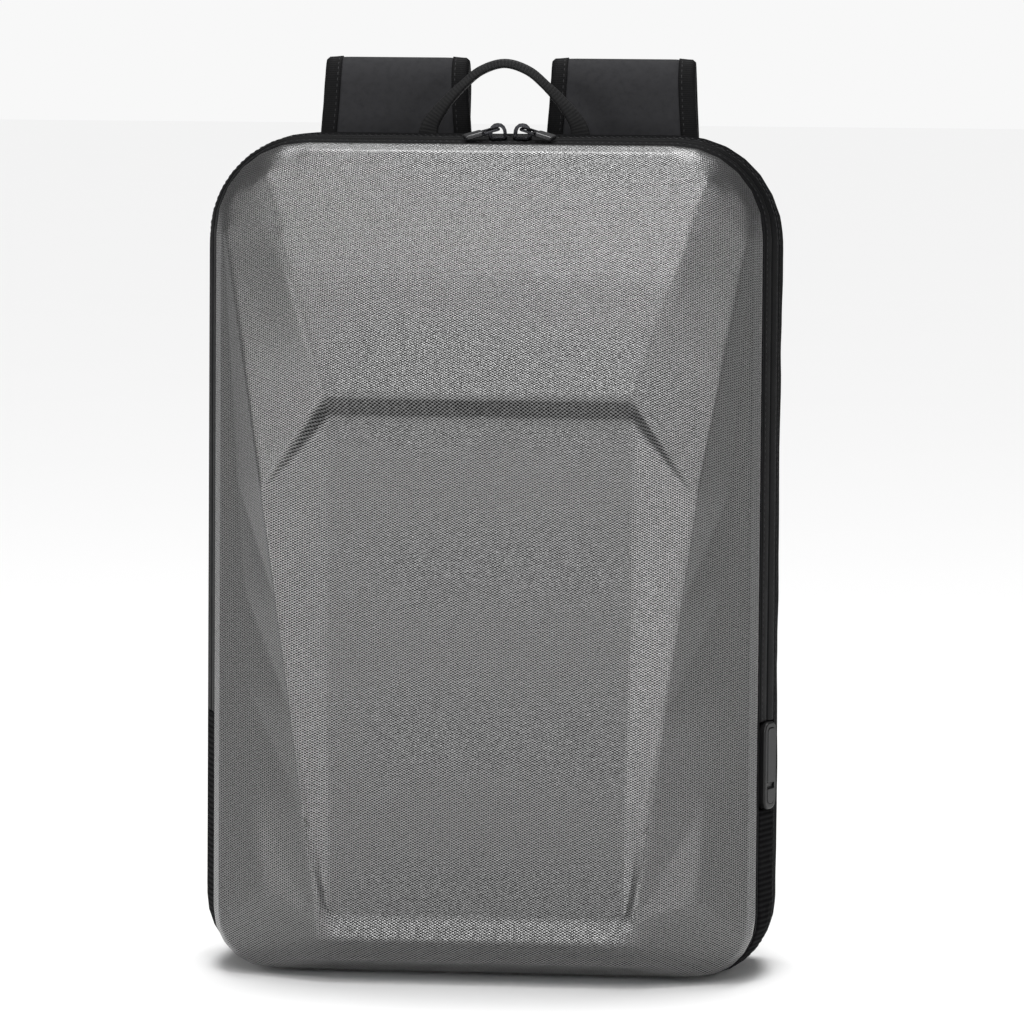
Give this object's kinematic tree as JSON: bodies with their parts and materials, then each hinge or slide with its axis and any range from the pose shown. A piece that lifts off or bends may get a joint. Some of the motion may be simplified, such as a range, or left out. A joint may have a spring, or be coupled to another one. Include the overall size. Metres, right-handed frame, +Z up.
{
  "type": "hard shell backpack",
  "caption": "Upright backpack with a faceted grey hard front shell on a black zipped cloth body, padded shoulder straps, a top carry handle and a port on its right side.",
  "frame": {"origin": "on the floor, under the middle of the whole bag", "axes": "+X to the right as the shell is seen, +Y from the shell towards the straps, +Z up"},
  "size_m": [0.3148, 0.2003, 0.5006],
  "materials": {
    "shell_plastic": "fine woven emboss, satin",
    "binding_fabric": "folded tape",
    "zip_tape": "coated zip tape",
    "hinge_fabric": "ribbed cloth",
    "body_fabric": "close woven cloth",
    "back_mesh": "padded air mesh",
    "strap_fabric": "padded, matte",
    "webbing": "ribbed webbing",
    "anchor_fabric": "stitched cloth tab",
    "adjuster_plastic": "moulded",
    "port_plastic": "moulded",
    "zip_metal": "black plated",
    "pull_plastic": "moulded"
  },
  "bodies": {
    "root": {"front_shell": "shell_plastic", "shell_binding": "binding_fabric", "zip_tape_front": "zip_tape", "zip_tape_back": "zip_tape", "zip_coil": "zip_tape", "hinge_strip": "hinge_fabric", "gusset": "body_fabric", "back_panel": "back_mesh", "top_handle": "webbing", "side_port_housing": "port_plastic", "side_port_cover": "port_plastic", "strap_left": "strap_fabric", "strap_tab_left": "webbing", "strap_adjuster_left": "adjuster_plastic", "strap_webbing_left": "webbing", "strap_anchor_left": "anchor_fabric", "strap_right": "strap_fabric", "strap_tab_right": "webbing", "strap_adjuster_right": "adjuster_plastic", "strap_webbing_right": "webbing", "strap_anchor_right": "anchor_fabric", "zip_slider_left": "zip_metal", "zip_slider_right": "zip_metal"},
    "zip_pull_left": {"zip_link_left": "zip_metal", "zip_tab_left": "pull_plastic"},
    "zip_pull_right": {"zip_link_right": "zip_metal", "zip_tab_right": "pull_plastic"}
  },
  "joints": [
    {"name": "zip_pull_left_hinge", "type": "hinge", "parent": "root", "child": "zip_pull_left", "pos_m": [0.003, -0.03299, 0.46324], "axis": [-0.342, 0.9236, 0.1732], "range_deg": [0, 100]},
    {"name": "zip_pull_right_hinge", "type": "hinge", "parent": "root", "child": "zip_pull_right", "pos_m": [0.0164, -0.03299, 0.46324], "axis": [-0.342, -0.9236, -0.1732], "range_deg": [0, 100]}
  ]
}
